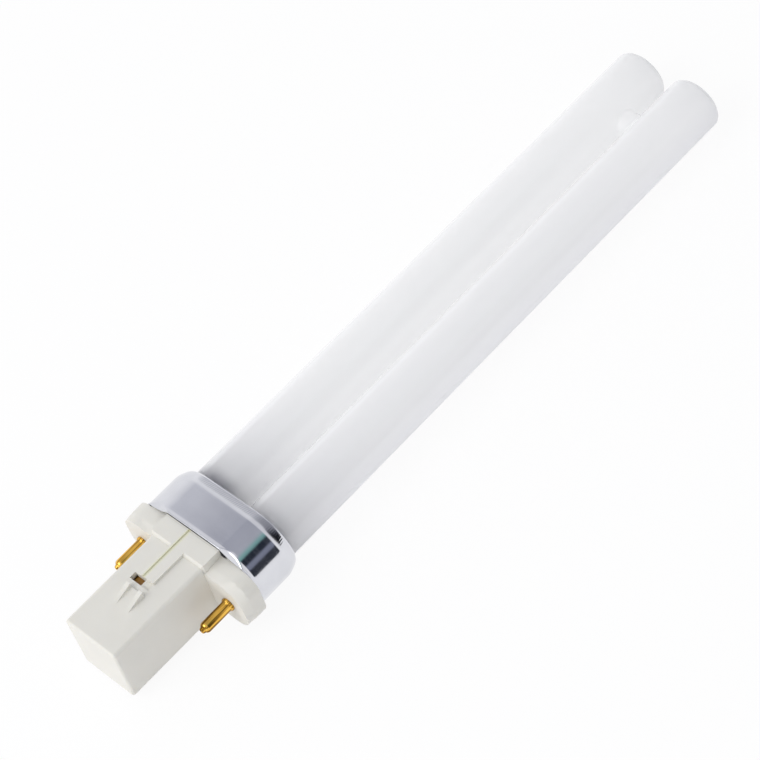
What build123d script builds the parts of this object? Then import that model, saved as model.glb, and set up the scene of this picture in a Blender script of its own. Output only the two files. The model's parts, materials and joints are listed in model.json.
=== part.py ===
import os

from build123d import *

os.makedirs("parts", exist_ok=True)

# A twin-tube plug-in fluorescent lamp lying on its broad side, in millimetres.
# The origin is on the lamp's axis at the cap's seating face. +Y runs along the
# tubes to their tips, X is the row of the two contact pins, and Z is up.

# Glass: two tubes closed at the tips and joined by a short bridge near them
tube_diameter = 12.0
tube_gap = 0.6
tube_tip = 144.2
tip_crown = 1.0
tip_edge_radius = 1.2
root_chamfer = 1.2
bridge_diameter = 6.0
bridge_from_tip = 13.5
bridge_fillet = 1.4
pinch_width = 7.0
pinch_thickness = 2.4
pinch_length = 3.2
root_gap = 0.1

# Aluminium sleeve, turned in at its rim and crimped over the cap at four corners
sleeve_width = 30.2
sleeve_height = 16.6
sleeve_wall = 0.35
sleeve_side = 8.4
rim_height = 1.9
rim_inset = 1.0
rim_gap = 0.15
tube_margin = 2.1
crimp_radius = 8.0
crimp_spacing = 24.4
crimp_length = 2.6
crimp_gap = 0.1

# Plastic cap: ears that carry the pins, raised pads and a hollow latch post
ear_width = 31.7
ear_height = 11.9
ear_corner_radius = 3.8
ear_front_radius = 5.2
ear_front_inset = 0.4
ear_blend = 2.0
ear_depth = 4.6
pad_width = 13.8
spigot_length = 2.9
spigot_clearance = 0.05
front_edge_chamfer = 0.4
floor_thickness = 1.8
cavity_wall = 1.2
post_width = 13.4
post_height = 14.4
post_length = 22.9
post_wall = 1.2
post_edge_radius = 0.8
post_end_radius = 0.6

# Latch on each broad face of the post: a rib, a groove, a window and a catch
rib_width = 3.4
rib_shift = 0.15
groove_width = 0.5
groove_depth = 0.35
groove_shift = 0.8
window_width = 2.7
window_length = 1.5
window_shift = 1.85
window_from_face = 7.7
recess_width = 2.3
recess_depth = 0.5
catch_gap = 1.3
catch_width = 4.2
catch_length = 4.2
catch_height = 1.5
catch_valley_width = 2.4
catch_valley_height = 0.4

# Contact pins
pin_spacing = 23.0
pin_diameter = 2.35
pin_length = 7.5
pin_tip_chamfer = 0.5
pin_inner_length = 2.6
collar_diameter = 2.9
collar_thickness = 0.7

# Inside the closed cap: a glow starter, its capacitor and the lead wires
starter_diameter = 6.4
starter_length = 13.0
starter_shoulder = 1.6
starter_end_gap = 1.5
capacitor_width = 7.0
capacitor_length = 9.0
capacitor_thickness = 3.2
capacitor_edge_radius = 0.8
capacitor_end_gap = 8.0
seat_gap = 0.3
lead_diameter = 0.6
lead_offset = 2.9
lead_mouth_gap = 0.7
starter_lead_spacing = 3.0

# Places that follow from the sizes above
along = (0, 1, 0)
back = (0, -1, 0)
sleeve_start = ear_depth
sleeve_shoulder = sleeve_start + sleeve_side
sleeve_top = sleeve_shoulder + rim_height
sleeve_centres = sleeve_width - sleeve_height
sleeve_inside = sleeve_height - 2 * sleeve_wall
tube_spacing = max(sleeve_width - 2 * tube_margin - tube_diameter, tube_diameter + tube_gap)
spigot_end = ear_depth + spigot_length
spigot_height = sleeve_inside - 2 * spigot_clearance
post_top = post_height / 2
pad_top = spigot_height / 2
post_floor = post_wall - post_length
tube_root = spigot_end + root_gap
pinch_end = tube_root - pinch_length
bridge_y = tube_tip - bridge_from_tip
window_y = -window_from_face - window_length / 2
catch_back = -window_from_face - window_length - catch_gap
catch_foot = catch_back - catch_length
prong_width = (catch_width - catch_valley_width) / 2


# A plane across the lamp at y, with its own x and y along X and Z
def across(y):
    return Plane.XZ.offset(-y)


# Glass body: both crowned tubes, the bridge between them and a flat pinch at each root
with BuildPart() as glass_tube:
    for side in (-1, 1):
        tube_x = side * tube_spacing / 2
        wall_x = tube_x + tube_diameter / 2
        with BuildSketch(Plane.XY):
            with BuildLine():
                Polyline(
                    (tube_x, tube_tip),
                    (tube_x, tube_root),
                    (wall_x - root_chamfer, tube_root),
                    (wall_x, tube_root + root_chamfer),
                    (wall_x, tube_tip - tip_crown),
                )
                TangentArc((tube_x, tube_tip), (wall_x, tube_tip - tip_crown), tangent=(1, 0))
            make_face()
        revolve(axis=Axis((tube_x, 0, 0), along))
    tip_edges = glass_tube.edges().filter_by(lambda edge: edge.is_closed).group_by(Axis.Y)[-1]
    fillet(tip_edges, tip_edge_radius)
    with BuildSketch(Plane.YZ.offset(-tube_spacing / 2)):
        with Locations((bridge_y, 0)):
            Circle(bridge_diameter / 2)
    extrude(amount=tube_spacing)
    bridge_seams = glass_tube.edges().filter_by(
        lambda edge: abs(edge.center().Y - bridge_y) < bridge_diameter / 2
        and abs(edge.center().X) < tube_spacing / 2
        and edge.geom_type != GeomType.LINE
    )
    fillet(bridge_seams, min(bridge_fillet, 0.35 * (tube_spacing - tube_diameter)))
    with BuildSketch(across(tube_root + root_chamfer)):
        with GridLocations(tube_spacing, 0, 2, 1):
            SlotOverall(pinch_width, pinch_thickness)
    extrude(amount=pinch_length + root_chamfer, dir=back)
glass_tube.part.label = "glass_tube"
export_step(glass_tube.part, "parts/glass_tube.step")


# Crimps press the sleeve's lower edge down onto the ears, beside each pad
crimp_axis_z = ear_height / 2 + crimp_gap + sleeve_wall + crimp_radius
crimp_spots = [
    (side * crimp_spacing / 2, sleeve_start, turn * crimp_axis_z)
    for side in (-1, 1)
    for turn in (-1, 1)
]

# The sleeve's outside and its inside are the same shape, one wall apart
sleeve_shapes = []
for inset in (0, sleeve_wall):
    with BuildPart() as sleeve_shape:
        with BuildSketch(across(sleeve_start)):
            SlotCenterToCenter(sleeve_centres, sleeve_height - 2 * inset)
        extrude(amount=sleeve_side, dir=along)
        with BuildSketch(across(sleeve_shoulder)):
            SlotCenterToCenter(sleeve_centres, sleeve_height - 2 * inset)
        with BuildSketch(across(sleeve_top - inset)):
            SlotCenterToCenter(sleeve_centres, sleeve_height - 2 * inset - 2 * rim_inset)
        loft()
        with Locations(*crimp_spots):
            Cone(
                crimp_radius + inset,
                crimp_radius + inset - crimp_length,
                crimp_length,
                rotation=(-90, 0, 0),
                align=(Align.CENTER, Align.CENTER, Align.MIN),
                mode=Mode.SUBTRACT,
            )
    sleeve_shapes.append(sleeve_shape.part)

with BuildPart() as metal_sleeve:
    add(sleeve_shapes[0])
    add(sleeve_shapes[1], mode=Mode.SUBTRACT)
    with BuildSketch(across(sleeve_shoulder)):
        SlotCenterToCenter(tube_spacing, tube_diameter + 2 * rim_gap)
    extrude(amount=rim_height, dir=along, mode=Mode.SUBTRACT)
metal_sleeve.part.label = "metal_sleeve"
export_step(metal_sleeve.part, "parts/metal_sleeve.step")

# Basing cement that holds the tube roots in the sleeve
with BuildPart() as tube_cement:
    with BuildSketch(across(spigot_end)):
        SlotCenterToCenter(sleeve_centres, spigot_height)
        with GridLocations(tube_spacing, 0, 2, 1):
            Circle(tube_diameter / 2, mode=Mode.SUBTRACT)
    extrude(amount=sleeve_shoulder - spigot_end, dir=along)
tube_cement.part.label = "tube_cement"
export_step(tube_cement.part, "parts/tube_cement.step")

# Cap: one hollow moulding, the same on both broad faces when turned about its axis
with BuildPart() as plastic_cap:
    with BuildSketch(across(0)):
        Rectangle(pad_width, spigot_height)
    extrude(amount=ear_depth, dir=along)
    chamfer(plastic_cap.faces().sort_by(Axis.Y)[0].edges(), front_edge_chamfer)
    with BuildSketch(across(0)):
        RectangleRounded(
            ear_width - 2 * ear_front_inset,
            ear_height - 2 * ear_front_inset,
            ear_front_radius,
        )
    with BuildSketch(across(ear_blend)):
        RectangleRounded(ear_width, ear_height, ear_corner_radius)
    loft()
    with BuildSketch(across(ear_blend)):
        RectangleRounded(ear_width, ear_height, ear_corner_radius)
    extrude(amount=ear_depth - ear_blend, dir=along)
    with BuildSketch(across(ear_depth)):
        RectangleRounded(ear_width, ear_height, ear_corner_radius)
        Rectangle(pad_width, spigot_height)
        SlotCenterToCenter(sleeve_centres, spigot_height, mode=Mode.INTERSECT)
    extrude(amount=spigot_length, dir=along)
    with BuildSketch(across(0)):
        RectangleRounded(post_width, post_height, post_edge_radius)
    extrude(amount=post_length, dir=back)
    fillet(plastic_cap.faces().sort_by(Axis.Y)[0].edges(), post_end_radius)

    for turn in (1, -1):
        broad_face = Plane((0, 0, 0), x_dir=(turn, 0, 0), z_dir=(0, 0, turn))
        long_section = Plane((0, 0, 0), x_dir=(0, 1, 0), z_dir=(turn, 0, 0))

        # Rib level with the pad, from the window to the pad
        with BuildSketch(broad_face.offset(post_top - post_wall / 2)):
            with Locations((rib_shift, (front_edge_chamfer - window_from_face) / 2)):
                Rectangle(rib_width, window_from_face + front_edge_chamfer)
        extrude(amount=pad_top - post_top + post_wall / 2)

        # Catch: a low ramp with a taller prong along each side
        with BuildSketch(long_section):
            with BuildLine():
                Polyline(
                    (catch_foot, post_top - post_wall / 2),
                    (catch_foot, post_top),
                    (catch_back, post_top + catch_valley_height),
                    (catch_back, post_top - post_wall / 2),
                    close=True,
                )
            make_face()
        extrude(amount=catch_width / 2, both=True)
        for end in (-1, 1):
            with BuildSketch(long_section.offset(end * (catch_width - prong_width) / 2)):
                with BuildLine():
                    Polyline(
                        (catch_foot, post_top - post_wall / 2),
                        (catch_foot, post_top),
                        (catch_back, post_top + catch_height),
                        (catch_back, post_top - post_wall / 2),
                        close=True,
                    )
                make_face()
            extrude(amount=prong_width / 2, both=True)

        # Window behind the catch, with a shallow recess beside it
        with BuildSketch(broad_face.offset(post_top - post_wall)):
            with Locations((-window_shift, window_y)):
                Rectangle(window_width, window_length)
        extrude(amount=post_wall, mode=Mode.SUBTRACT)
        with BuildSketch(broad_face.offset(post_top - recess_depth)):
            with Locations(((window_width + recess_width) / 2 - window_shift, window_y)):
                Rectangle(recess_width, window_length)
        extrude(amount=recess_depth, mode=Mode.SUBTRACT)

        # Groove in the top of the rib, from the window to the sleeve
        with BuildSketch(broad_face.offset(pad_top - groove_depth)):
            with Locations((-groove_shift, (ear_depth - window_from_face) / 2)):
                Rectangle(groove_width, ear_depth + window_from_face)
        extrude(amount=groove_depth, mode=Mode.SUBTRACT)

    # Hollow post, hollow ears and the holes for the pins
    with BuildSketch(across(spigot_end)):
        SlotOverall(
            sleeve_width - 2 * (sleeve_wall + spigot_clearance + cavity_wall),
            ear_height - 2 * cavity_wall,
        )
    extrude(amount=spigot_end - floor_thickness, dir=back, mode=Mode.SUBTRACT)
    with BuildSketch(across(spigot_end)):
        Rectangle(post_width - 2 * post_wall, post_height - 2 * post_wall)
    extrude(amount=spigot_end - post_floor, dir=back, mode=Mode.SUBTRACT)
    with BuildSketch(across(0)):
        with GridLocations(pin_spacing, 0, 2, 1):
            Circle(pin_diameter / 2)
    extrude(amount=pin_inner_length, dir=along, mode=Mode.SUBTRACT)
plastic_cap.part.label = "plastic_cap"
export_step(plastic_cap.part, "parts/plastic_cap.step")

# Contact pins: a collar on the seating face and a shank through the cap's floor
for name, side in (("left_contact_pin", -1), ("right_contact_pin", 1)):
    with BuildPart() as contact_pin:
        with BuildSketch(across(-pin_length)):
            with Locations((side * pin_spacing / 2, 0)):
                Circle(pin_diameter / 2)
        extrude(amount=pin_length + pin_inner_length, dir=along)
        chamfer(contact_pin.faces().sort_by(Axis.Y)[0].edges(), pin_tip_chamfer)
        with BuildSketch(across(0)):
            with Locations((side * pin_spacing / 2, 0)):
                Circle(collar_diameter / 2)
        extrude(amount=collar_thickness, dir=back)
    contact_pin.part.label = name
    export_step(contact_pin.part, f"parts/{name}.step")

# Glow starter: a small shouldered glass bottle against the lower wall of the post
starter_z = seat_gap + starter_diameter / 2 + post_wall - post_top
starter_y = post_floor + starter_end_gap
with BuildPart() as glow_starter:
    with BuildSketch(across(starter_y)):
        with Locations((0, starter_z)):
            Circle(starter_diameter / 2)
    extrude(amount=starter_length, dir=along)
    chamfer(glow_starter.faces().sort_by(Axis.Y)[0].edges(), starter_shoulder)
glow_starter.part.label = "glow_starter"
export_step(glow_starter.part, "parts/glow_starter.step")

# Starter capacitor: a dipped block against the upper wall of the post
capacitor_z = post_top - post_wall - seat_gap - capacitor_thickness / 2
with BuildPart() as starter_capacitor:
    with BuildSketch(across(post_floor + capacitor_end_gap)):
        with Locations((0, capacitor_z)):
            RectangleRounded(capacitor_width, capacitor_thickness, capacitor_edge_radius)
    extrude(amount=capacitor_length, dir=along)
starter_capacitor.part.label = "starter_capacitor"
export_step(starter_capacitor.part, "parts/starter_capacitor.step")

# Lead wires: from each tube's pinch one runs to its pin, and one through the
# mouth of the post to the starter
starter_top = starter_y + starter_length
mouth_x = post_width / 2 - post_wall - lead_mouth_gap - lead_diameter / 2
for name, side in (("left", -1), ("right", 1)):
    pinch_x = side * tube_spacing / 2
    lead_routes = {
        f"{name}_pin_lead": [
            Vector(pinch_x + side * lead_offset, pinch_end, 0),
            Vector(side * pin_spacing / 2, pin_inner_length, 0),
        ],
        f"{name}_starter_lead": [
            Vector(pinch_x - side * lead_offset, pinch_end, 0),
            Vector(side * mouth_x, floor_thickness, 0),
            Vector(side * starter_lead_spacing / 2, starter_top, starter_z),
        ],
    }
    for lead_name, route in lead_routes.items():
        with BuildPart() as lead_wire:
            for upper_end, lower_end in zip(route, route[1:]):
                with BuildSketch(across(upper_end.Y)):
                    with Locations((upper_end.X, upper_end.Z)):
                        Circle(lead_diameter / 2)
                extrude(amount=(lower_end - upper_end).length, dir=lower_end - upper_end)
        lead_wire.part.label = lead_name
        export_step(lead_wire.part, f"parts/{lead_name}.step")
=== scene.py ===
import json
import math

import bmesh
import bpy
from mathutils import Matrix, Quaternion, Vector, noise


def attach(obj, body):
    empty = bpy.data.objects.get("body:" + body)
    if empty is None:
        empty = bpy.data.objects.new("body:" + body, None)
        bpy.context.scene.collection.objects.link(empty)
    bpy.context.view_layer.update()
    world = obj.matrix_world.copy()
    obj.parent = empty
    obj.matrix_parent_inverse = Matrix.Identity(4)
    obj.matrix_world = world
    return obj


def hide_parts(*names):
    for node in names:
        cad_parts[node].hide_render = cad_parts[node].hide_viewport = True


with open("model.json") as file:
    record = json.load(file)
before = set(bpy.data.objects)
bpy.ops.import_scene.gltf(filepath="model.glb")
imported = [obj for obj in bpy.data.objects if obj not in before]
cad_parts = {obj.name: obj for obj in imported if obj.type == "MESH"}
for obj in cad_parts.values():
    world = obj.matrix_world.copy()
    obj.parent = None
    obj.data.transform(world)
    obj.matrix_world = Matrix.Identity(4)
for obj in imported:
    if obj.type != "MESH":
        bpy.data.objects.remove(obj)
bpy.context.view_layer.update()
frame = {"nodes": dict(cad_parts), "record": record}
nodes = frame["nodes"]
scene = bpy.context.scene
scene.view_settings.view_transform = "Standard"
mm = 0.001
print("frame loaded:", ", ".join(sorted(nodes)))


# sRGB hex to the linear colour that a shader socket takes
def linearColour(hexText):
    channels = [int(hexText[i:i + 2], 16) / 255 for i in (1, 3, 5)]
    return [c / 12.92 if c <= 0.04045 else ((c + 0.055) / 1.055) ** 2.4 for c in channels] + [1.0]


# one node with its settings; a socket's value is a constant or another node's output
def addNode(tree, kind, sockets=None, **settings):
    node = tree.nodes.new(kind)
    for name, value in settings.items():
        setattr(node, name, value)
    for socket, value in (sockets or {}).items():
        if isinstance(value, bpy.types.NodeSocket):
            tree.links.new(value, node.inputs[socket])
        else:
            node.inputs[socket].default_value = value
    return node


def newMaterial(name):
    material = bpy.data.materials.new(name)
    material.use_nodes = True
    tree = material.node_tree
    tree.nodes.clear()
    place = addNode(tree, "ShaderNodeTexCoord").outputs["Object"]
    return material, tree, place


# most values of a noise pattern lie within these limits
noiseSpan = (0.3, 0.7)


# Coated glass: drawn tube with a white phosphor layer inside that lets light through from
# all round, so it is milky and even under a glossy skin, greyer towards the base
def makeCoatedGlass():
    look = {
        "body": "#fefefe", "base": "#fafafb", "rim": 14.9, "greyReach": 30, "axisX": 7.0,
        "paintedRimShade": "#a2a2aa", "paintedRimShadeReach": 4.4, "cloudSize": 9, "cloudRoughness": 0.55,
        "cloudSpan": (0.35, 0.6), "leastPaintedRimShade": 0.25, "paintedShadeSideX": (-3.0, 5.0), "paintedShadeRightShare": 0.4,
        "edge": "#d0d0d4", "tip": 143.6, "edgeReach": 0.9, "edgeRing": (4.4, 5.2),
        "stripWay": (0.83, 0.0, -0.557), "strip": (-5.2, -4.7), "bridgeHalf": (1.2, 1.8),
        "through": 0.72, "stripThrough": 0.36, "greyer": (1.0, 6.0), "greyTone": "#f5f5f7",
        "layerRoughness": 0.3, "waveSize": 22, "waveStrength": 0.25, "waveHeight": 0.15,
        "skin": "#ffffff", "skinRoughness": 0.07, "gloss": 0.05, "grazingPower": 5.0,
        "paintedShadeFlank": (1.8, 4.8), "paintedShadeGloss": 0.25,
    }
    material, tree, place = newMaterial("phosphorCoatedGlass")
    sides = addNode(tree, "ShaderNodeSeparateXYZ", {0: place}).outputs
    along = sides["Y"]
    cloud = addNode(tree, "ShaderNodeTexNoise", {
        "Vector": place, "Scale": 1 / (look["cloudSize"] * mm), "Detail": 3.0,
        "Roughness": look["cloudRoughness"],
    }).outputs["Fac"]
    grey = addNode(tree, "ShaderNodeMapRange", {
        "Value": along, "From Min": look["rim"] * mm,
        "From Max": (look["rim"] + look["greyReach"]) * mm, "To Min": 1.0, "To Max": 0.0,
    }, interpolation_type="SMOOTHSTEP").outputs[0]
    # painted shade: a patchy dark grey on the tube feet just past the rim, where the sleeve shades the
    # glass and shows darkly in it, weaker on the right tube
    nearRim = addNode(tree, "ShaderNodeMapRange", {
        "Value": along, "From Min": look["rim"] * mm,
        "From Max": (look["rim"] + look["paintedRimShadeReach"]) * mm, "To Min": 1.0, "To Max": 0.0,
    }, interpolation_type="SMOOTHSTEP").outputs[0]
    patchy = addNode(tree, "ShaderNodeMapRange", {
        "Value": cloud, "From Min": look["cloudSpan"][0], "From Max": look["cloudSpan"][1],
        "To Min": look["leastPaintedRimShade"], "To Max": 1.0,
    }).outputs[0]
    paintedShadeBySide = addNode(tree, "ShaderNodeMapRange", {
        "Value": sides["X"], "From Min": look["paintedShadeSideX"][0] * mm, "From Max": look["paintedShadeSideX"][1] * mm,
        "To Min": 1.0, "To Max": look["paintedShadeRightShare"],
    }).outputs[0]
    paintedRimShade = addNode(tree, "ShaderNodeMath", {0: nearRim, 1: patchy}, operation="MULTIPLY").outputs[0]
    paintedRimShade = addNode(tree, "ShaderNodeMath", {0: paintedRimShade, 1: paintedShadeBySide}, operation="MULTIPLY").outputs[0]
    bodyTone = addNode(tree, "ShaderNodeMix", {
        0: grey, 6: linearColour(look["body"]), 7: linearColour(look["base"]),
    }, data_type="RGBA").outputs[2]
    tone = addNode(tree, "ShaderNodeMix", {
        0: paintedRimShade, 6: bodyTone, 7: linearColour(look["paintedRimShade"]),
    }, data_type="RGBA").outputs[2]
    # painted reflection: a grey line round the edge of each tip stands in for the darker surroundings seen
    # in its rounding
    nearTip = addNode(tree, "ShaderNodeMapRange", {
        "Value": along, "From Min": (look["tip"] - look["edgeReach"]) * mm, "From Max": look["tip"] * mm,
    }, interpolation_type="SMOOTHSTEP").outputs[0]
    fromMiddle = addNode(tree, "ShaderNodeMath", {0: sides["X"]}, operation="ABSOLUTE").outputs[0]
    fromAxis = addNode(tree, "ShaderNodeMath", {
        0: fromMiddle, 1: look["axisX"] * mm,
    }, operation="SUBTRACT").outputs[0]
    spread = addNode(tree, "ShaderNodeCombineXYZ", {"X": fromAxis, "Z": sides["Z"]}).outputs[0]
    spread = addNode(tree, "ShaderNodeVectorMath", {0: spread}, operation="LENGTH").outputs["Value"]
    onEdge = addNode(tree, "ShaderNodeMapRange", {
        "Value": spread, "From Min": look["edgeRing"][0] * mm, "From Max": look["edgeRing"][1] * mm,
    }, interpolation_type="SMOOTHSTEP").outputs[0]
    nearTip = addNode(tree, "ShaderNodeMath", {0: nearTip, 1: onEdge}, operation="MULTIPLY").outputs[0]
    tone = addNode(tree, "ShaderNodeMix", {
        0: nearTip, 6: tone, 7: linearColour(look["edge"]),
    }, data_type="RGBA").outputs[2]
    # painted highlight: a strip along the upper left of each tube lets less light through and so renders
    # brighter, standing in for a reflection of the tent's bright side; painted shade: the lower right of
    # the right tube is a little greyer
    whichTube = addNode(tree, "ShaderNodeMath", {0: sides["X"]}, operation="SIGN").outputs[0]
    tubeX = addNode(tree, "ShaderNodeMath", {
        0: whichTube, 1: look["axisX"] * mm,
    }, operation="MULTIPLY").outputs[0]
    flank = addNode(tree, "ShaderNodeMath", {0: sides["X"], 1: tubeX}, operation="SUBTRACT").outputs[0]
    around = addNode(tree, "ShaderNodeCombineXYZ", {"X": flank, "Z": sides["Z"]}).outputs[0]
    across = addNode(tree, "ShaderNodeVectorMath", {
        0: around, 1: look["stripWay"],
    }, operation="DOT_PRODUCT").outputs["Value"]
    paintedHighlightStrip = addNode(tree, "ShaderNodeMapRange", {
        "Value": across, "From Min": look["strip"][0] * mm, "From Max": look["strip"][1] * mm,
        "To Min": 1.0, "To Max": 0.0,
    }).outputs[0]
    offBridge = addNode(tree, "ShaderNodeMapRange", {
        "Value": fromMiddle, "From Min": look["bridgeHalf"][0] * mm, "From Max": look["bridgeHalf"][1] * mm,
    }).outputs[0]
    paintedHighlightStrip = addNode(tree, "ShaderNodeMath", {0: paintedHighlightStrip, 1: offBridge}, operation="MULTIPLY").outputs[0]
    throughShare = addNode(tree, "ShaderNodeMapRange", {
        "Value": paintedHighlightStrip, "To Min": look["through"], "To Max": look["stripThrough"],
    }).outputs[0]
    # painted shade: the lower right of the right tube is greyer, on its side turned away from the light
    greyer = addNode(tree, "ShaderNodeMapRange", {
        "Value": across, "From Min": look["greyer"][0] * mm, "From Max": look["greyer"][1] * mm,
    }).outputs[0]
    greyer = addNode(tree, "ShaderNodeMath", {0: greyer, 1: whichTube}, operation="MULTIPLY",
                     use_clamp=True).outputs[0]
    tone = addNode(tree, "ShaderNodeMix", {
        0: greyer, 6: tone, 7: linearColour(look["greyTone"]),
    }, data_type="RGBA").outputs[2]
    wave = addNode(tree, "ShaderNodeTexNoise", {
        "Vector": place, "Scale": 1 / (look["waveSize"] * mm), "Detail": 1.0,
    }).outputs["Fac"]
    bump = addNode(tree, "ShaderNodeBump", {
        "Height": wave, "Strength": look["waveStrength"], "Distance": look["waveHeight"] * mm,
    }).outputs["Normal"]
    front = addNode(tree, "ShaderNodeBsdfPrincipled", {
        "Base Color": tone, "Roughness": look["layerRoughness"], "IOR": 1.5, "Specular IOR Level": 0.0,
    }).outputs[0]
    through = addNode(tree, "ShaderNodeBsdfTranslucent", {"Color": tone}).outputs[0]
    layer = addNode(tree, "ShaderNodeMixShader", {0: throughShare, 1: front, 2: through}).outputs[0]
    skin = addNode(tree, "ShaderNodeBsdfGlossy", {
        "Color": linearColour(look["skin"]), "Roughness": look["skinRoughness"], "Normal": bump,
    }).outputs[0]
    facing = addNode(tree, "ShaderNodeLayerWeight", {"Blend": 0.5}).outputs["Facing"]
    grazing = addNode(tree, "ShaderNodeMath", {
        0: facing, 1: look["grazingPower"],
    }, operation="POWER").outputs[0]
    # painted shade: the gloss is mostly taken off along the right flank of each tube, so that edge renders
    # darker, as if it reflected a darker side of the room
    flankGloss = addNode(tree, "ShaderNodeMapRange", {
        "Value": flank, "From Min": look["paintedShadeFlank"][0] * mm, "From Max": look["paintedShadeFlank"][1] * mm,
        "To Min": 1.0, "To Max": look["paintedShadeGloss"],
    }).outputs[0]
    grazing = addNode(tree, "ShaderNodeMath", {0: grazing, 1: flankGloss}, operation="MULTIPLY").outputs[0]
    share = addNode(tree, "ShaderNodeMapRange", {
        "Value": grazing, "To Min": look["gloss"], "To Max": 1.0,
    }).outputs[0]
    shader = addNode(tree, "ShaderNodeMixShader", {0: share, 1: layer, 2: skin}).outputs[0]
    addNode(tree, "ShaderNodeOutputMaterial", {"Surface": shader})
    return material


# Rolled aluminium strip: bright, slightly blue, with faint rolling lines round the sleeve
def makeSleeveAluminium():
    look = {
        "tone": "#e2e3e8", "dull": "#cfd0d6", "patchSize": 5, "roughness": (0.09, 0.16),
        "lineSize": 0.35, "lineStretch": (0.04, 1.0, 0.04), "lineStrength": 0.06, "lineHeight": 0.02,
    }
    material, tree, place = newMaterial("rolledAluminium")
    stretched = addNode(tree, "ShaderNodeMapping", {
        "Vector": place, "Scale": look["lineStretch"],
    }).outputs[0]
    lines = addNode(tree, "ShaderNodeTexNoise", {
        "Vector": stretched, "Scale": 1 / (look["lineSize"] * mm), "Detail": 2.0,
    }).outputs["Fac"]
    patches = addNode(tree, "ShaderNodeTexNoise", {
        "Vector": place, "Scale": 1 / (look["patchSize"] * mm), "Detail": 3.0,
    }).outputs["Fac"]
    tone = addNode(tree, "ShaderNodeMix", {
        0: patches, 6: linearColour(look["tone"]), 7: linearColour(look["dull"]),
    }, data_type="RGBA").outputs[2]
    rough = addNode(tree, "ShaderNodeMapRange", {
        "Value": lines, "From Min": noiseSpan[0], "From Max": noiseSpan[1],
        "To Min": look["roughness"][0], "To Max": look["roughness"][1],
    }).outputs[0]
    bump = addNode(tree, "ShaderNodeBump", {
        "Height": lines, "Strength": look["lineStrength"], "Distance": look["lineHeight"] * mm,
    }).outputs["Normal"]
    shader = addNode(tree, "ShaderNodeBsdfPrincipled", {
        "Base Color": tone, "Metallic": 1.0, "Roughness": rough, "Normal": bump,
    }).outputs[0]
    addNode(tree, "ShaderNodeOutputMaterial", {"Surface": shader})
    return material


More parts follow.
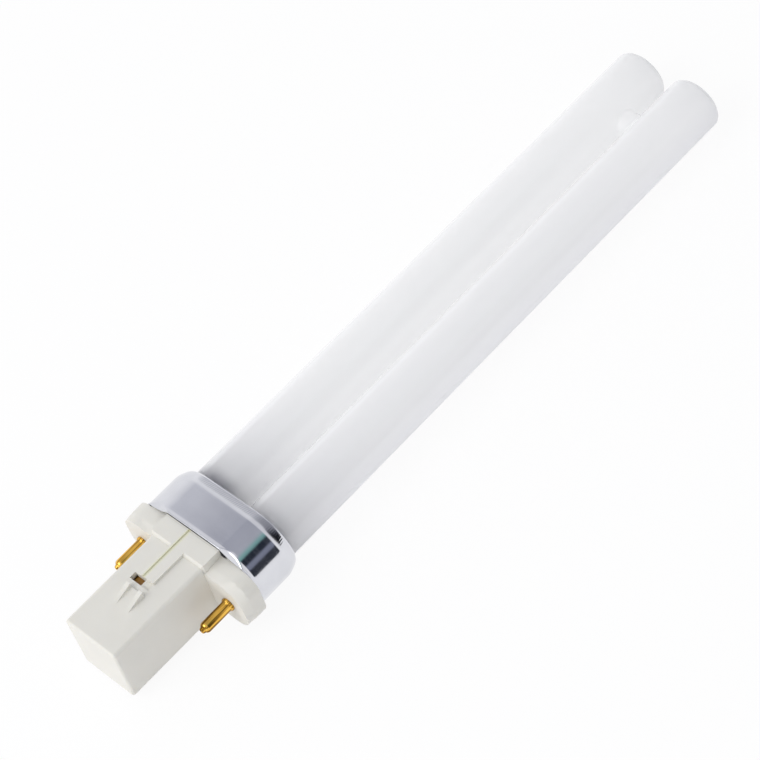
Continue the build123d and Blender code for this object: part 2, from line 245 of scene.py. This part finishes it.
# Moulded PBT: warm off-white, satin, a little light bleeds through its thin edges
def makeCapPlastic():
    look = {
        "tone": "#e6e4dc", "shade": "#dedcd4", "patchSize": 7, "roughness": (0.38, 0.5),
        "grainSize": 0.25, "grainStrength": 0.08, "grainHeight": 0.03,
        "groove": "#e3e2cd", "grooveX": -0.8, "grooveHalf": (0.42, 0.57), "grooveZ": 7.4, "grooveY": -7.8,
        "under": "#4c4c50", "paintedGapShadeY": (4.6, 4.65), "crimpX": 10.0, "crimpHalf": (1.6, 2.4),
        "bleedShare": 0.15, "bleed": (1.0, 0.9, 0.7), "bleedScale": 1.2,
    }
    material, tree, place = newMaterial("mouldedPlastic")
    patches = addNode(tree, "ShaderNodeTexNoise", {
        "Vector": place, "Scale": 1 / (look["patchSize"] * mm), "Detail": 2.0,
    }).outputs["Fac"]
    tone = addNode(tree, "ShaderNodeMix", {
        0: patches, 6: linearColour(look["tone"]), 7: linearColour(look["shade"]),
    }, data_type="RGBA").outputs[2]
    # the groove on each broad face is tinted olive; the lower face is the upper one turned round
    axes = addNode(tree, "ShaderNodeSeparateXYZ", {0: place}).outputs
    face = addNode(tree, "ShaderNodeMath", {0: axes["Z"]}, operation="SIGN").outputs[0]
    acrossFace = addNode(tree, "ShaderNodeMath", {0: axes["X"], 1: face}, operation="MULTIPLY").outputs[0]
    fromGroove = addNode(tree, "ShaderNodeMath", {
        0: acrossFace, 1: look["grooveX"] * mm,
    }, operation="SUBTRACT").outputs[0]
    fromGroove = addNode(tree, "ShaderNodeMath", {0: fromGroove}, operation="ABSOLUTE").outputs[0]
    inWidth = addNode(tree, "ShaderNodeMapRange", {
        "Value": fromGroove, "From Min": look["grooveHalf"][0] * mm, "From Max": look["grooveHalf"][1] * mm,
        "To Min": 1.0, "To Max": 0.0,
    }).outputs[0]
    level = addNode(tree, "ShaderNodeMath", {0: axes["Z"]}, operation="ABSOLUTE").outputs[0]
    inLevel = addNode(tree, "ShaderNodeMath", {
        0: level, 1: look["grooveZ"] * mm,
    }, operation="GREATER_THAN").outputs[0]
    inLength = addNode(tree, "ShaderNodeMath", {
        0: axes["Y"], 1: look["grooveY"] * mm,
    }, operation="GREATER_THAN").outputs[0]
    inGroove = addNode(tree, "ShaderNodeMath", {0: inWidth, 1: inLevel}, operation="MULTIPLY").outputs[0]
    inGroove = addNode(tree, "ShaderNodeMath", {0: inGroove, 1: inLength}, operation="MULTIPLY").outputs[0]
    tone = addNode(tree, "ShaderNodeMix", {
        0: inGroove, 6: tone, 7: linearColour(look["groove"]),
    }, data_type="RGBA").outputs[2]
    # painted shade: the plastic under the sleeve is dark grey, seen as a thin dark line in the gap along
    # its lower edge between the crimps
    paintedGapShade = addNode(tree, "ShaderNodeMapRange", {
        "Value": axes["Y"], "From Min": look["paintedGapShadeY"][0] * mm, "From Max": look["paintedGapShadeY"][1] * mm,
    }).outputs[0]
    fromCrimp = addNode(tree, "ShaderNodeMath", {0: axes["X"]}, operation="ABSOLUTE").outputs[0]
    fromCrimp = addNode(tree, "ShaderNodeMath", {
        0: fromCrimp, 1: look["crimpX"] * mm,
    }, operation="SUBTRACT").outputs[0]
    fromCrimp = addNode(tree, "ShaderNodeMath", {0: fromCrimp}, operation="ABSOLUTE").outputs[0]
    clear = addNode(tree, "ShaderNodeMapRange", {
        "Value": fromCrimp, "From Min": look["crimpHalf"][0] * mm, "From Max": look["crimpHalf"][1] * mm,
    }).outputs[0]
    paintedGapShade = addNode(tree, "ShaderNodeMath", {
        0: paintedGapShade, 1: clear,
    }, operation="MULTIPLY").outputs[0]
    tone = addNode(tree, "ShaderNodeMix", {
        0: paintedGapShade, 6: tone, 7: linearColour(look["under"]),
    }, data_type="RGBA").outputs[2]
    grain = addNode(tree, "ShaderNodeTexNoise", {
        "Vector": place, "Scale": 1 / (look["grainSize"] * mm), "Detail": 2.0,
    }).outputs["Fac"]
    rough = addNode(tree, "ShaderNodeMapRange", {
        "Value": grain, "From Min": noiseSpan[0], "From Max": noiseSpan[1],
        "To Min": look["roughness"][0], "To Max": look["roughness"][1],
    }).outputs[0]
    bump = addNode(tree, "ShaderNodeBump", {
        "Height": grain, "Strength": look["grainStrength"], "Distance": look["grainHeight"] * mm,
    }).outputs["Normal"]
    shader = addNode(tree, "ShaderNodeBsdfPrincipled", {
        "Base Color": tone, "Roughness": rough, "IOR": 1.5, "Normal": bump,
        "Subsurface Weight": look["bleedShare"], "Subsurface Radius": look["bleed"],
        "Subsurface Scale": look["bleedScale"] * mm,
    }).outputs[0]
    addNode(tree, "ShaderNodeOutputMaterial", {"Surface": shader})
    return material


# Drawn brass: bright gold pins with fine die lines along them, painted dark enough to stand in for dark
# streaks of reflection too
def makePinBrass():
    look = {
        "tone": "#f7cb66", "dark": "#e6ab42", "patchSize": 1.6, "roughness": (0.08, 0.16),
        "line": "#74500f", "lineSize": 0.4, "lineStretch": (1.0, 0.03, 1.0),
        "lineSpan": (0.47, 0.55), "dieLineAndReflectionShare": 0.95,
    }
    material, tree, place = newMaterial("drawnBrass")
    stretched = addNode(tree, "ShaderNodeMapping", {
        "Vector": place, "Scale": look["lineStretch"],
    }).outputs[0]
    lines = addNode(tree, "ShaderNodeTexNoise", {
        "Vector": stretched, "Scale": 1 / (look["lineSize"] * mm), "Detail": 2.0,
    }).outputs["Fac"]
    patches = addNode(tree, "ShaderNodeTexNoise", {
        "Vector": place, "Scale": 1 / (look["patchSize"] * mm), "Detail": 2.0,
    }).outputs["Fac"]
    tone = addNode(tree, "ShaderNodeMix", {
        0: patches, 6: linearColour(look["tone"]), 7: linearColour(look["dark"]),
    }, data_type="RGBA").outputs[2]
    # die lines, partly real and partly painted reflection: dark brown streaks along each pin
    dieLineAndReflectionShare = addNode(tree, "ShaderNodeMapRange", {
        "Value": lines, "From Min": look["lineSpan"][0], "From Max": look["lineSpan"][1],
        "To Min": 0.0, "To Max": look["dieLineAndReflectionShare"],
    }).outputs[0]
    tone = addNode(tree, "ShaderNodeMix", {
        0: dieLineAndReflectionShare, 6: tone, 7: linearColour(look["line"]),
    }, data_type="RGBA").outputs[2]
    rough = addNode(tree, "ShaderNodeMapRange", {
        "Value": lines, "From Min": noiseSpan[0], "From Max": noiseSpan[1],
        "To Min": look["roughness"][0], "To Max": look["roughness"][1],
    }).outputs[0]
    shader = addNode(tree, "ShaderNodeBsdfPrincipled", {
        "Base Color": tone, "Metallic": 1.0, "Roughness": rough,
    }).outputs[0]
    addNode(tree, "ShaderNodeOutputMaterial", {"Surface": shader})
    return material


# Inner pieces: two tones of one speckle, at the scale of that material's own grain
def makeInnerMaterial(name, tones, grainSize, roughness, metallic=0.0, clear=0.0):
    material, tree, place = newMaterial(name)
    speckle = addNode(tree, "ShaderNodeTexNoise", {
        "Vector": place, "Scale": 1 / (grainSize * mm), "Detail": 3.0,
    }).outputs["Fac"]
    tone = addNode(tree, "ShaderNodeMix", {
        0: speckle, 6: linearColour(tones[0]), 7: linearColour(tones[1]),
    }, data_type="RGBA").outputs[2]
    shader = addNode(tree, "ShaderNodeBsdfPrincipled", {
        "Base Color": tone, "Roughness": roughness, "Metallic": metallic,
        "Transmission Weight": clear,
    }).outputs[0]
    addNode(tree, "ShaderNodeOutputMaterial", {"Surface": shader})
    return material


finishes = {
    "coated_glass": makeCoatedGlass(),
    "bare_aluminium": makeSleeveAluminium(),
    "cap_plastic": makeCapPlastic(),
    "pin_brass": makePinBrass(),
    # basing cement is chalky and pale, with a coarse mineral grain
    "cement": makeInnerMaterial("bakedBasingCement", ("#d8d4ca", "#b9b4a8"), 0.6, 0.9),
    # blown soda glass of the starter bottle, clear and faintly green
    "starter_glass": makeInnerMaterial("blownSodaGlass", ("#eef4f1", "#e3ebe7"), 3.0, 0.08, clear=0.8),
    # dipped phenolic resin of the capacitor, brown and glossy
    "capacitor_resin": makeInnerMaterial("dippedPhenolicResin", ("#b4843a", "#8a6224"), 0.8, 0.3),
    # tinned copper leads, dull silver
    "lead_wire": makeInnerMaterial("tinnedCopperWire", ("#bdb9b2", "#a39e96"), 0.3, 0.35, metallic=1.0),
}
slotOfNode = {row["node"]: row["material_slot"] for row in frame["record"]["subparts"]}
for nodeName, node in nodes.items():
    node.data.materials.clear()
    node.data.materials.append(finishes[slotOfNode[nodeName]])
print("materials set on", len(nodes), "CAD nodes")


def finishPiece(name, mesh, slotName, nodeName):
    mesh.materials.append(finishes[slotName])
    piece = bpy.data.objects.new(name, mesh)
    scene.collection.objects.link(piece)
    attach(piece, "root")
    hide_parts(nodeName)


# Sleeve: one wall profile spun round both ends and run along both sides, then pleated on its
# shoulder and dented by the crimps; profiles hold (depth inwards from the outer wall, y)
sleeveForm = {
    "straight": 6.8, "radius": 8.3, "wall": 0.35, "arcSteps": 300, "runSteps": 156, "weld": 0.0005,
    "edgeY": 4.6, "shoulderY": 13.0, "rimY": 15.4, "slotShift": 0.2, "lipDepth": 1.8,
    "inside": [
        (0.02, 4.66), (0.1, 4.8), (0.2, 4.98), (0.3, 5.2), (0.35, 5.45), (0.35, 6.0),
        (0.35, 9.0), (0.35, 12.9), (0.8, 13.95), (1.3, 14.95),
    ],
    "lip": [(2.1, 15.06), (2.15, 15.18), (2.05, 15.28)],
    "outside": [
        (2.0, 15.38), (1.8, 15.4), (1.56, 15.35), (1.34, 15.25), (1.14, 15.1), (0.96, 14.92),
        (0.8, 14.7), (0.67, 14.44), (0.54, 14.14), (0.42, 13.86), (0.31, 13.58), (0.215, 13.3),
        (0.14, 13.04), (0.08, 12.8), (0.035, 12.56), (0.01, 12.34), (0.0, 12.12), (0.0, 11.9),
        (0.0, 10.0), (0.0, 8.0), (0.0, 6.6), (0.0, 6.0), (0.0, 5.6),
        (-0.02, 5.45), (-0.06, 5.28), (-0.105, 5.11), (-0.15, 4.94), (-0.185, 4.81),
        (-0.19, 4.72), (-0.14, 4.64), (-0.05, 4.6),
    ],
    "bulge": 0.17, "bulgeReach": 9.0, "underFlat": 0.6, "underSpread": 2,
    "pleats": 165, "pleatHeight": 0.056, "pleatLean": 0.4, "pleatDepth": 0.2, "pleatStart": 0.12,
    "driftScale": 0.35, "driftTurn": 0.8, "unevenScale": 1.3, "uneven": 0.25,
    "fadeBefore": 1.5, "fadeRun": 3.5, "fadeShare": 0.72,
    "crimpX": 12.2, "crimpZ": 14.4, "crimpRadius": 8.0, "crimpSoft": 0.12, "crimpReach": 0.8,
    "innerDepth": 0.08, "innerEdge": 0.3,
}


# place of a point on the sleeve: run round it from the middle of the top, depth, outward direction
def placeOnSleeve(x, z, form):
    beyond = max(abs(x) - form["straight"], 0.0)
    distance = math.hypot(beyond, z)
    turn = math.atan2(beyond, z)
    run = min(abs(x), form["straight"]) if z > 0 or beyond > 0 else 0.0
    run += form["radius"] * turn
    if beyond == 0.0 and z < 0:
        run = 2 * form["straight"] + math.pi * form["radius"] - abs(x)
    outward = (math.copysign(beyond, x) / distance, z / distance)
    return math.copysign(run, x), form["radius"] - distance, outward


# how far a pleat presses in at a run round the sleeve and a share of the slope up to the rim
def pleatPress(run, slope, form):
    around = 4 * form["straight"] + 2 * math.pi * form["radius"]
    drift = noise.noise(Vector((run * form["driftScale"], 0, 5)))
    share = 1 - form["uneven"] + form["uneven"] * noise.noise(Vector((run * form["unevenScale"], 3, 0)))
    # weaker round the ends than along the broad faces
    past = max(0.0, abs(run) - form["straight"] + form["fadeBefore"])
    share *= 1 - form["fadeShare"] * min(1.0, past / form["fadeRun"])
    turn = 2 * math.pi * run * form["pleats"] / around + form["driftTurn"] * drift
    wave = 0.5 - 0.5 * math.cos(turn)
    return form["pleatHeight"] * share * wave * math.sin(math.pi * min(1.0, slope + form["pleatStart"]))


def buildSleeve():
    form = sleeveForm
    shape = bmesh.new()
    loop = [
        shape.verts.new((form["straight"] * mm, y * mm, (depth - form["radius"]) * mm))
        for depth, y in form["inside"] + form["lip"] + form["outside"]
    ]
    last = loop + [shape.edges.new((loop[i - 1], loop[i])) for i in range(len(loop))]
    for side in (1, -1):
        last = bmesh.ops.spin(
            shape, geom=last, cent=(side * form["straight"] * mm, 0, 0), axis=(0, -1, 0),
            angle=math.pi, steps=form["arcSteps"],
        )["geom_last"]
        last = bmesh.ops.spin(
            shape, geom=last, cent=(0, 0, 0), axis=(0, 1, 0), angle=0.0, steps=form["runSteps"],
            dvec=(-side * 2 * form["straight"] / form["runSteps"] * mm, 0, 0),
        )["geom_last"]
    bmesh.ops.remove_doubles(shape, verts=shape.verts, dist=form["weld"] * mm)
    for vert in shape.verts:
        x, y, z = (value / mm for value in vert.co)
        run, depth, outward = placeOnSleeve(x, z, form)
        slope = max(y - form["shoulderY"], 0.0) / (form["rimY"] - form["shoulderY"])
        # upper broad face: the drawn sheet bulges a little where it isn't pressed on the floor
        if z > 0:
            z += form["bulge"] * max(0.0, 1 - (x / form["bulgeReach"]) ** 2)
        # rolled edge: flatter underneath, where the sleeve comes close to the floor
        if depth < 0 and z < 0:
            flatter = form["underFlat"] * depth * min(1.0, -form["underSpread"] * outward[1])
            x += outward[0] * flatter
            z += outward[1] * flatter
        # lip: the opening is a little longer than the sleeve's own straight run
        if depth > form["lipDepth"]:
            x += form["slotShift"] * max(-1.0, min(1.0, x / form["straight"]))
        # pleats: pressed inwards on the slope between shoulder and rim
        elif slope > 0 and depth < slope + form["pleatDepth"]:
            press = pleatPress(run, slope, form)
            x -= outward[0] * press
            y -= form["pleatLean"] * press
            z -= outward[1] * press
        # crimps: a cone pressed onto the lower edge at each corner
        inner = depth > form["innerDepth"] or (depth > 0 and y < form["edgeY"] + form["innerEdge"])
        cone = form["crimpRadius"] - (y - form["edgeY"]) + (form["wall"] if inner else 0.0)
        for across in (-1, 1):
            for up in (-1, 1):
                fromX, fromZ = x - across * form["crimpX"], z - up * form["crimpZ"]
                distance = math.hypot(fromX, fromZ)
                bite = cone - distance
                if bite > -form["crimpReach"] and y < form["shoulderY"]:
                    push = 0.5 * (bite + math.hypot(bite, form["crimpSoft"]))
                    x += fromX / distance * push
                    z += fromZ / distance * push
        vert.co = (x * mm, y * mm, z * mm)
    bmesh.ops.recalc_face_normals(shape, faces=shape.faces)
    for face in shape.faces:
        face.smooth = True
    mesh = bpy.data.meshes.new("crimpedSleeve")
    shape.to_mesh(mesh)
    shape.free()
    return mesh


finishPiece("crimpedSleeve", buildSleeve(), "bare_aluminium", "metal_sleeve")
print("sleeve built")

# Cap: the CAD moulding with finer ear corners; at the front of each ear one corner is full and the
# other rounder, the same after a half turn about the lamp's axis
capForm = {
    "halfWidth": 15.85, "halfHeight": 5.95, "cornerRadius": 3.8, "blend": 2.0, "depth": 4.6,
    "frontInset": 0.4, "frontRadius": 5.2, "fullInset": 0.15, "cuts": 3, "sharpDeg": 38,
    "slack": 0.01, "cornerBand": 0.25, "weld": 0.001,
}


# where a point of an ear corner goes: centre, turn and radius, or nothing where it is off the corner
def placeOnCorner(x, y, z, form):
    if not -form["slack"] < y < form["depth"] + form["slack"]:
        return None
    share = min(max(y / form["blend"], 0.0), 1.0)
    inset = (1 - share) * form["frontInset"]
    radius = form["frontRadius"] + share * (form["cornerRadius"] - form["frontRadius"])
    centre = (form["halfWidth"] - inset - radius, form["halfHeight"] - inset - radius)
    fromX, fromZ = abs(x) - centre[0], abs(z) - centre[1]
    offArc = abs(math.hypot(fromX, fromZ) - radius)
    if min(fromX, fromZ) < -form["slack"] or offArc > form["cornerBand"]:
        return None
    turn = math.atan2(fromZ, fromX)
    if x * z > 0:
        return centre, turn, radius
    # full corner: keeps the ear's own radius up to the front
    inset, radius = (1 - share) * form["fullInset"], form["cornerRadius"]
    return (form["halfWidth"] - inset - radius, form["halfHeight"] - inset - radius), turn, radius


def buildCap():
    form = capForm
    shape = bmesh.new()
    shape.from_mesh(nodes["plastic_cap"].data)
    bmesh.ops.remove_doubles(shape, verts=shape.verts, dist=form["weld"] * mm)
    rings = []
    for edge in shape.edges:
        ends = [vert.co / mm for vert in edge.verts]
        level = abs(ends[0].y - ends[1].y) < form["slack"]
        if level and all(placeOnCorner(*end, form) for end in ends):
            rings.append(edge)
    bmesh.ops.subdivide_edges(shape, edges=rings, cuts=form["cuts"])
    for vert in shape.verts:
        x, y, z = vert.co / mm
        place = placeOnCorner(x, y, z, form)
        if place:
            centre, turn, radius = place
            vert.co.x = math.copysign(centre[0] + radius * math.cos(turn), x) * mm
            vert.co.z = math.copysign(centre[1] + radius * math.sin(turn), z) * mm
    bmesh.ops.triangulate(shape, faces=shape.faces)
    bmesh.ops.recalc_face_normals(shape, faces=shape.faces)
    # each corner of a face takes the mean of the faces that run on smoothly there, the larger ones more
    limit = math.cos(math.radians(form["sharpDeg"]))
    areas = {face: face.calc_area() for face in shape.faces}
    normals = []
    for face in shape.faces:
        face.smooth = True
        for vert in face.verts:
            mean = Vector()
            for other in vert.link_faces:
                if other.normal.dot(face.normal) > limit:
                    mean += other.normal * areas[other]
            normals.append(mean.normalized() if mean.length > 0 else face.normal.copy())
    mesh = bpy.data.meshes.new("mouldedCap")
    shape.to_mesh(mesh)
    shape.free()
    mesh.normals_split_custom_set(normals)
    print("cap corners:", len(rings), "edges cut")
    return mesh


finishPiece("mouldedCap", buildCap(), "cap_plastic", "plastic_cap")
print("cap built")

# Contact pins: a turned profile with a rounded collar and a nub at the tip, spun about each pin's
# axis; the profile holds (radius, y)
pinForm = {
    "spacing": 23.0, "steps": 72, "weld": 0.0005,
    "profile": [
        (0.0, 2.6), (1.17, 2.6), (1.17, 0.0), (1.3, -0.02), (1.43, -0.1), (1.45, -0.25), (1.45, -0.5),
        (1.41, -0.63), (1.3, -0.7), (1.2, -0.74), (1.175, -0.85), (1.175, -6.1), (1.15, -6.35),
        (1.06, -6.6), (0.9, -6.8), (0.74, -6.9), (0.67, -7.0), (0.65, -7.15), (0.6, -7.3),
        (0.45, -7.44), (0.22, -7.49), (0.0, -7.5),
    ],
}


def buildPin(side):
    form = pinForm
    pinX = side * form["spacing"] / 2
    shape = bmesh.new()
    line = [shape.verts.new(((pinX + radius) * mm, y * mm, 0)) for radius, y in form["profile"]]
    edges = [shape.edges.new((line[i - 1], line[i])) for i in range(1, len(line))]
    bmesh.ops.spin(
        shape, geom=line + edges, cent=(pinX * mm, 0, 0), axis=(0, 1, 0), angle=2 * math.pi,
        steps=form["steps"], use_merge=True,
    )
    bmesh.ops.remove_doubles(shape, verts=shape.verts, dist=form["weld"] * mm)
    bmesh.ops.recalc_face_normals(shape, faces=shape.faces)
    for face in shape.faces:
        face.smooth = True
    mesh = bpy.data.meshes.new("turnedPin")
    shape.to_mesh(mesh)
    shape.free()
    return mesh


for name, side in (("left", -1), ("right", 1)):
    finishPiece(name + "TurnedPin", buildPin(side), "pin_brass", name + "_contact_pin")
print("pins built")

# Floor: the lamp rests on its sleeve's shoulder and its tube tips, so it lies a little tilted
floor = {
    "restY": 13.0, "restZ": -8.3, "tiltDeg": 1.0215, "size": 3000,
    "tone": "#fdfcfd", "seenTone": "#ffffff", "seenShare": 0.9,
}
floorMesh = bpy.data.meshes.new("studioFloor")
floorShape = bmesh.new()
bmesh.ops.create_grid(floorShape, x_segments=2, y_segments=2, size=floor["size"] * mm)
bmesh.ops.rotate(
    floorShape, verts=floorShape.verts, cent=(0, 0, 0),
    matrix=Matrix.Rotation(math.radians(floor["tiltDeg"]), 3, "X"),
)
bmesh.ops.translate(
    floorShape, verts=floorShape.verts, vec=(0, floor["restY"] * mm, floor["restZ"] * mm),
)
floorShape.to_mesh(floorMesh)
floorShape.free()
floorObject = bpy.data.objects.new("studioFloor", floorMesh)
scene.collection.objects.link(floorObject)
# paper sweep: matt, and nearly white where it is looked at, itself or in a reflection
floorMaterial, tree, place = newMaterial("paperSweep")
rays = addNode(tree, "ShaderNodeLightPath").outputs
seen = addNode(tree, "ShaderNodeMath", {
    0: rays["Is Camera Ray"], 1: rays["Is Glossy Ray"],
}, operation="MAXIMUM").outputs[0]
seen = addNode(tree, "ShaderNodeMath", {
    0: seen, 1: rays["Is Transmission Ray"],
}, operation="MAXIMUM").outputs[0]
share = addNode(tree, "ShaderNodeMath", {0: seen, 1: floor["seenShare"]}, operation="MULTIPLY").outputs[0]
paper = addNode(tree, "ShaderNodeBsdfDiffuse", {"Color": linearColour(floor["tone"])}).outputs[0]
glow = addNode(tree, "ShaderNodeEmission", {
    "Color": linearColour(floor["seenTone"]), "Strength": 1.0,
}).outputs[0]
shader = addNode(tree, "ShaderNodeMixShader", {0: share, 1: paper, 2: glow}).outputs[0]
addNode(tree, "ShaderNodeOutputMaterial", {"Surface": shader})
floorMesh.materials.append(floorMaterial)

# World: a white studio tent, with an arch of cards over the lamp that draws the bands in the metal
# and a darker side behind it; arch stops hold (degrees from straight up, to the right, tone), and
# behind stops (x of the direction, tone)
tent = {
    "wall": "#fdfdfe", "ceiling": "#e6e6ea", "wallTop": 0.35, "ceilingFrom": 0.75, "strength": 1.0,
    "archY": 0.28, "archHalf": (0.14, 0.22),
    "arch": [
        (-72, "#fdfdfe"), (-52, "#eeeef1"), (-37.5, "#d8d9df"), (-33.3, "#c6c7ce"), (-29, "#aeb0ba"),
        (17, "#b4b6bf"), (26, "#86b3b0"), (31, "#76a09f"), (35, "#242a36"), (50, "#242a36"),
        (55, "#858a9b"), (65, "#7f8496"), (69, "#34373f"), (90, "#34373f"),
    ],
    "behindY": (0.67, 0.76), "behindZ": (0.58, 0.7),
    "behind": [
        (-0.85, "#f2f3f5"), (-0.5, "#c6c7cd"), (-0.15, "#a0a1a8"), (0.16, "#8e8f97"), (0.32, "#54555d"),
        (0.46, "#1b1c21"),
    ],
}
world = bpy.data.worlds.new("studioTent")
world.use_nodes = True
scene.world = world
tree = world.node_tree
tree.nodes.clear()
sides = addNode(tree, "ShaderNodeSeparateXYZ", {
    0: addNode(tree, "ShaderNodeTexCoord").outputs["Generated"],
}).outputs
height = sides["Z"]
rise = addNode(tree, "ShaderNodeMapRange", {
    "Value": height, "From Min": tent["wallTop"], "From Max": tent["ceilingFrom"],
}, interpolation_type="SMOOTHSTEP").outputs[0]
tentTone = addNode(tree, "ShaderNodeMix", {
    0: rise, 6: linearColour(tent["wall"]), 7: linearColour(tent["ceiling"]),
}, data_type="RGBA").outputs[2]
turned = addNode(tree, "ShaderNodeMath", {0: sides["X"], 1: height}, operation="ARCTAN2").outputs[0]
turned = addNode(tree, "ShaderNodeMapRange", {
    "Value": turned, "From Min": -math.pi / 2, "From Max": math.pi / 2,
}).outputs[0]
acrossTent = addNode(tree, "ShaderNodeMapRange", {"Value": sides["X"], "From Min": -1.0}).outputs[0]
ramps = []
for value, stops in (
    (turned, [(0.5 + degrees / 180, tone) for degrees, tone in tent["arch"]]),
    (acrossTent, [(0.5 + x / 2, tone) for x, tone in tent["behind"]]),
):
    ramp = addNode(tree, "ShaderNodeValToRGB", {0: value})
    elements = ramp.color_ramp.elements
    while len(elements) < len(stops):
        elements.new(1.0)
    for element, (position, tone) in zip(elements, stops):
        element.position = position
        element.color = linearColour(tone)
    ramps.append(ramp.outputs[0])
arch, behind = ramps
aside = addNode(tree, "ShaderNodeMath", {0: sides["Y"], 1: tent["archY"]}, operation="SUBTRACT").outputs[0]
aside = addNode(tree, "ShaderNodeMath", {0: aside}, operation="ABSOLUTE").outputs[0]
within = addNode(tree, "ShaderNodeMapRange", {
    "Value": aside, "From Min": tent["archHalf"][0], "From Max": tent["archHalf"][1],
    "To Min": 1.0, "To Max": 0.0,
}, interpolation_type="SMOOTHSTEP").outputs[0]
tentTone = addNode(tree, "ShaderNodeMix", {
    0: within, 6: tentTone, 7: arch,
}, data_type="RGBA").outputs[2]
farOff = addNode(tree, "ShaderNodeMapRange", {
    "Value": sides["Y"], "From Min": tent["behindY"][0], "From Max": tent["behindY"][1],
}, interpolation_type="SMOOTHSTEP").outputs[0]
low = addNode(tree, "ShaderNodeMapRange", {
    "Value": height, "From Min": tent["behindZ"][0], "From Max": tent["behindZ"][1],
    "To Min": 1.0, "To Max": 0.0,
}, interpolation_type="SMOOTHSTEP").outputs[0]
behindShare = addNode(tree, "ShaderNodeMath", {0: farOff, 1: low}, operation="MULTIPLY").outputs[0]
tentTone = addNode(tree, "ShaderNodeMix", {
    0: behindShare, 6: tentTone, 7: behind,
}, data_type="RGBA").outputs[2]
addNode(tree, "ShaderNodeOutputWorld", {
    "Surface": addNode(tree, "ShaderNodeBackground", {
        "Color": tentTone, "Strength": tent["strength"],
    }).outputs[0],
})

# Key: one large soft box in front of the cap and above it
keyLight = {"from": (-0.2, -0.65, 0.73), "distance": 900, "size": 600, "power": 2.8}
keyData = bpy.data.lights.new("keySoftBox", "AREA")
keyData.shape = "SQUARE"
keyData.size = keyLight["size"] * mm
keyData.energy = keyLight["power"]
keyObject = bpy.data.objects.new("keySoftBox", keyData)
scene.collection.objects.link(keyObject)
keyPlace = Vector(keyLight["from"]).normalized() * keyLight["distance"] * mm
keyObject.location = keyPlace
keyObject.rotation_euler = (-keyPlace).to_track_quat("-Z", "Y").to_euler()
print("floor, tent and key light set")

# Camera at the photograph's place, turned about its own axis
photoView = {
    "place": (253.42, -114.28, 384.8), "aim": (0.53, 53.59, 0.0), "rollDeg": -17.555,
    "lens": 120.74, "sensor": 36, "shift": (-0.0003, 0.0013), "clip": (0.01, 20),
}
cameraData = bpy.data.cameras.new("photoCamera")
cameraData.lens = photoView["lens"]
cameraData.sensor_width = photoView["sensor"]
cameraData.shift_x, cameraData.shift_y = photoView["shift"]
cameraData.clip_start, cameraData.clip_end = photoView["clip"]
camera = bpy.data.objects.new("photoCamera", cameraData)
scene.collection.objects.link(camera)
camera.location = Vector(photoView["place"]) * mm
sight = Vector(photoView["aim"]) - Vector(photoView["place"])
roll = Quaternion((0, 0, 1), math.radians(photoView["rollDeg"]))
camera.rotation_euler = (sight.to_track_quat("-Z", "Y") @ roll).to_euler()
scene.camera = camera
print("camera set")
